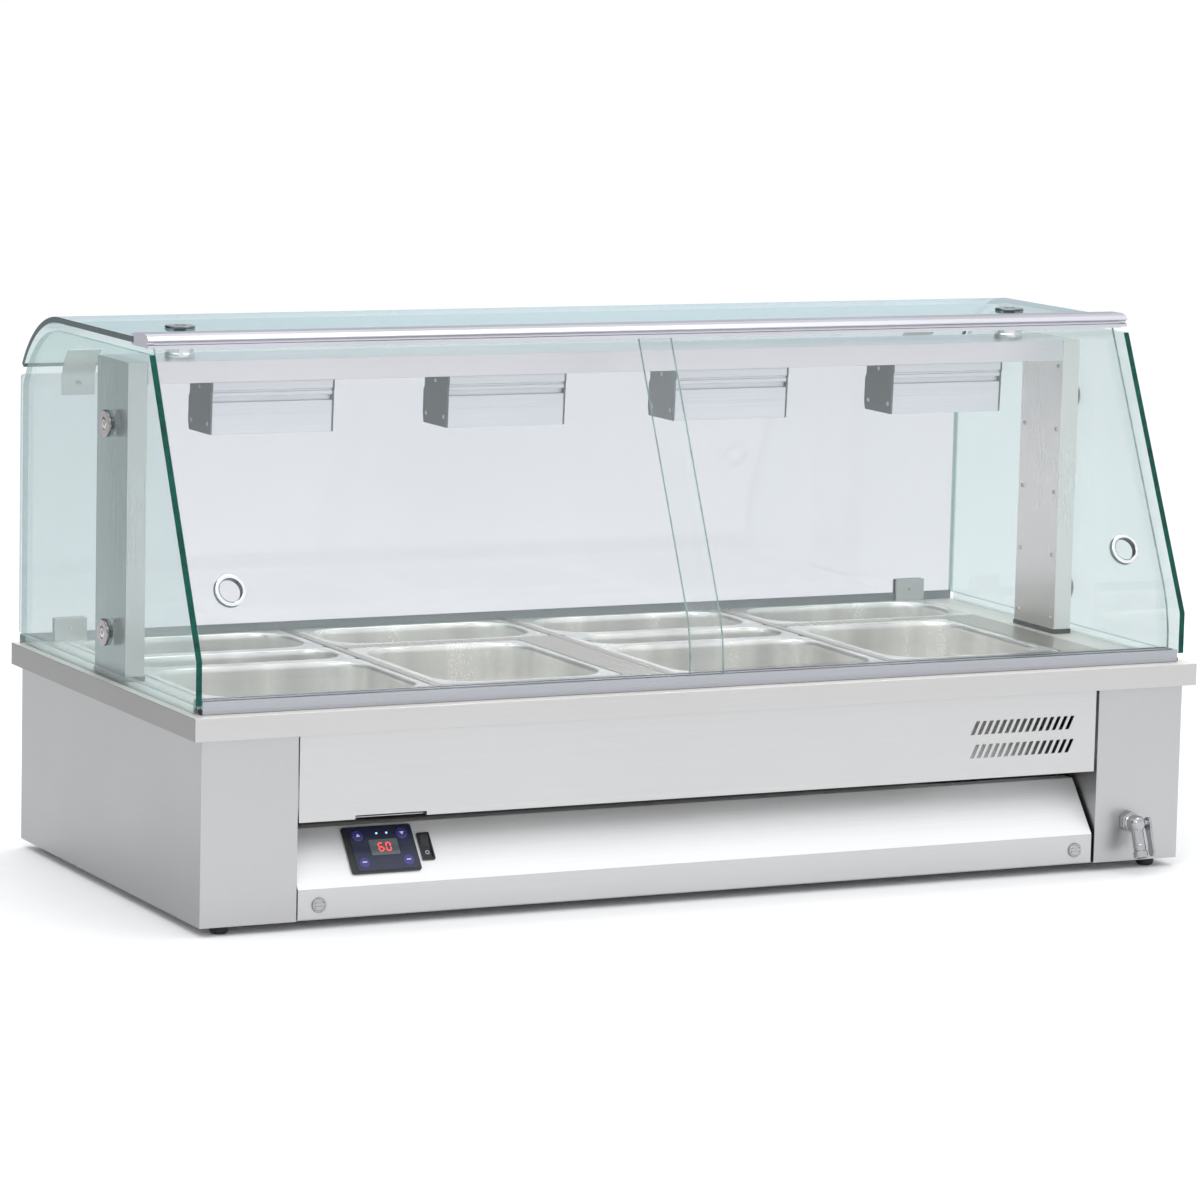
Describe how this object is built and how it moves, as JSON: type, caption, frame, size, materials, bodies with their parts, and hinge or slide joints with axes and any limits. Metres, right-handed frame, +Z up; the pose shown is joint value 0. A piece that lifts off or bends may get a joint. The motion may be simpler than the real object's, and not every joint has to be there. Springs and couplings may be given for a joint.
{
  "type": "hot food display case",
  "caption": "Counter-top heated display case: stainless base with lift-out pans, heat lamps on a gantry, curved glass canopy and sliding front doors.",
  "frame": {"origin": "centre of the bounding box at the level of the feet", "axes": "+X along the case to the customer's right, +Y from the sliding doors to the back, +Z up"},
  "size_m": [1.48, 0.7078, 0.7483],
  "materials": {
    "brushed_steel": "fine brushed stainless sheet",
    "pan_steel": "bright satin stainless, pressed and welded",
    "heater_steel": "dull heat-tinted stainless sheath",
    "foot_rubber": "matt black",
    "canopy_glass": "clear tempered glass with polished green edges",
    "chrome": "polished",
    "aluminium": "satin anodised extrusion",
    "black_plastic": "fine grained bezel",
    "rocker_plastic": "moulded gloss black",
    "gland_plastic": "moulded nylon"
  },
  "bodies": {
    "case": {"side_panel_left": "brushed_steel", "side_panel_right": "brushed_steel", "base_floor": "brushed_steel", "rear_panel": "brushed_steel", "front_upper_panel": "brushed_steel", "worktop": "brushed_steel", "crossbar_1": "brushed_steel", "crossbar_2": "brushed_steel", "crossbar_3": "brushed_steel", "upright_left": "brushed_steel", "upright_right": "brushed_steel", "gantry_beam": "brushed_steel", "rear_glass_bracket_left": "brushed_steel", "rear_glass_bracket_right": "brushed_steel", "well_tank": "pan_steel", "heating_element": "heater_steel", "foot_front_left": "foot_rubber", "foot_front_right": "foot_rubber", "foot_rear_left": "foot_rubber", "foot_rear_right": "foot_rubber", "top_glass": "canopy_glass", "rear_glass": "canopy_glass", "end_glass_left": "canopy_glass", "end_glass_right": "canopy_glass", "standoff_lower_left": "chrome", "standoff_lower_right": "chrome", "standoff_upper_left": "chrome", "standoff_upper_right": "chrome", "top_fixing_left": "chrome", "top_fixing_right": "chrome", "drain_valve": "chrome", "top_rail": "aluminium", "door_track": "aluminium", "lamp_housing_1": "aluminium", "lamp_housing_2": "aluminium", "lamp_housing_3": "aluminium", "lamp_housing_4": "aluminium", "cable_gland": "gland_plastic"},
    "door_left": {"door_left": "canopy_glass", "door_ring_left": "chrome"},
    "door_right": {"door_right": "canopy_glass", "door_ring_right": "chrome"},
    "pan_back_1": {"pan_back_1": "pan_steel"},
    "pan_back_2": {"pan_back_2": "pan_steel"},
    "pan_back_3": {"pan_back_3": "pan_steel"},
    "pan_back_4": {"pan_back_4": "pan_steel"},
    "pan_middle_1": {"pan_middle_1": "pan_steel"},
    "pan_middle_3": {"pan_middle_3": "pan_steel"},
    "pan_front_1": {"pan_front_1": "pan_steel"},
    "pan_front_2": {"pan_front_2": "pan_steel"},
    "pan_front_3": {"pan_front_3": "pan_steel"},
    "pan_front_4": {"pan_front_4": "pan_steel"},
    "adaptor_plate_2": {"adaptor_plate_2": "brushed_steel"},
    "adaptor_plate_4": {"adaptor_plate_4": "brushed_steel"},
    "control_panel": {"control_panel": "brushed_steel", "temperature_controller": "black_plastic"},
    "power_rocker": {"power_rocker": "rocker_plastic"},
    "panel_latch_left": {"panel_latch_left": "chrome"},
    "panel_latch_right": {"panel_latch_right": "chrome"},
    "drain_valve_lever": {"drain_valve_lever": "chrome"}
  },
  "joints": [
    {"name": "door_left_slide", "type": "slide", "parent": "case", "child": "door_left", "axis": [1, 0, 0], "range_m": [0, 0.7]},
    {"name": "door_right_slide", "type": "slide", "parent": "case", "child": "door_right", "axis": [-1, 0, 0], "range_m": [0, 0.7]},
    {"name": "pan_back_1_lift", "type": "slide", "parent": "case", "child": "pan_back_1", "axis": [0, 0, 1], "range_m": [0, 0.12]},
    {"name": "pan_back_2_lift", "type": "slide", "parent": "case", "child": "pan_back_2", "axis": [0, 0, 1], "range_m": [0, 0.12]},
    {"name": "pan_back_3_lift", "type": "slide", "parent": "case", "child": "pan_back_3", "axis": [0, 0, 1], "range_m": [0, 0.12]},
    {"name": "pan_back_4_lift", "type": "slide", "parent": "case", "child": "pan_back_4", "axis": [0, 0, 1], "range_m": [0, 0.12]},
    {"name": "pan_middle_1_lift", "type": "slide", "parent": "case", "child": "pan_middle_1", "axis": [0, 0, 1], "range_m": [0, 0.12]},
    {"name": "pan_middle_3_lift", "type": "slide", "parent": "case", "child": "pan_middle_3", "axis": [0, 0, 1], "range_m": [0, 0.12]},
    {"name": "pan_front_1_lift", "type": "slide", "parent": "case", "child": "pan_front_1", "axis": [0, 0, 1], "range_m": [0, 0.12]},
    {"name": "pan_front_2_lift", "type": "slide", "parent": "adaptor_plate_2", "child": "pan_front_2", "axis": [0, 0, 1], "range_m": [0, 0.12]},
    {"name": "pan_front_3_lift", "type": "slide", "parent": "case", "child": "pan_front_3", "axis": [0, 0, 1], "range_m": [0, 0.12]},
    {"name": "pan_front_4_lift", "type": "slide", "parent": "adaptor_plate_4", "child": "pan_front_4", "axis": [0, 0, 1], "range_m": [0, 0.12]},
    {"name": "adaptor_plate_2_lift", "type": "slide", "parent": "case", "child": "adaptor_plate_2", "axis": [0, 0, 1], "range_m": [0, 0.05]},
    {"name": "adaptor_plate_4_lift", "type": "slide", "parent": "case", "child": "adaptor_plate_4", "axis": [0, 0, 1], "range_m": [0, 0.05]},
    {"name": "control_panel_removal", "type": "slide", "parent": "case", "child": "control_panel", "axis": [0, -1, 0], "range_m": [0, 0.1]},
    {"name": "power_rocker_tilt", "type": "hinge", "parent": "control_panel", "child": "power_rocker", "pos_m": [-0.4, -0.27358, 0.09182], "axis": [-1, 0, 0], "range_deg": [0, 10]},
    {"name": "panel_latch_left_turn", "type": "hinge", "parent": "control_panel", "child": "panel_latch_left", "pos_m": [-0.562, -0.30509, 0.032], "axis": [0, 1, 0], "range_deg": [0, 90]},
    {"name": "panel_latch_right_turn", "type": "hinge", "parent": "control_panel", "child": "panel_latch_right", "pos_m": [0.562, -0.30509, 0.032], "axis": [0, 1, 0], "range_deg": [0, 90]},
    {"name": "drain_valve_turn", "type": "hinge", "parent": "case", "child": "drain_valve_lever", "pos_m": [0.662, -0.32809, 0.068], "axis": [-1, 0, 0], "range_deg": [0, 90]}
  ]
}
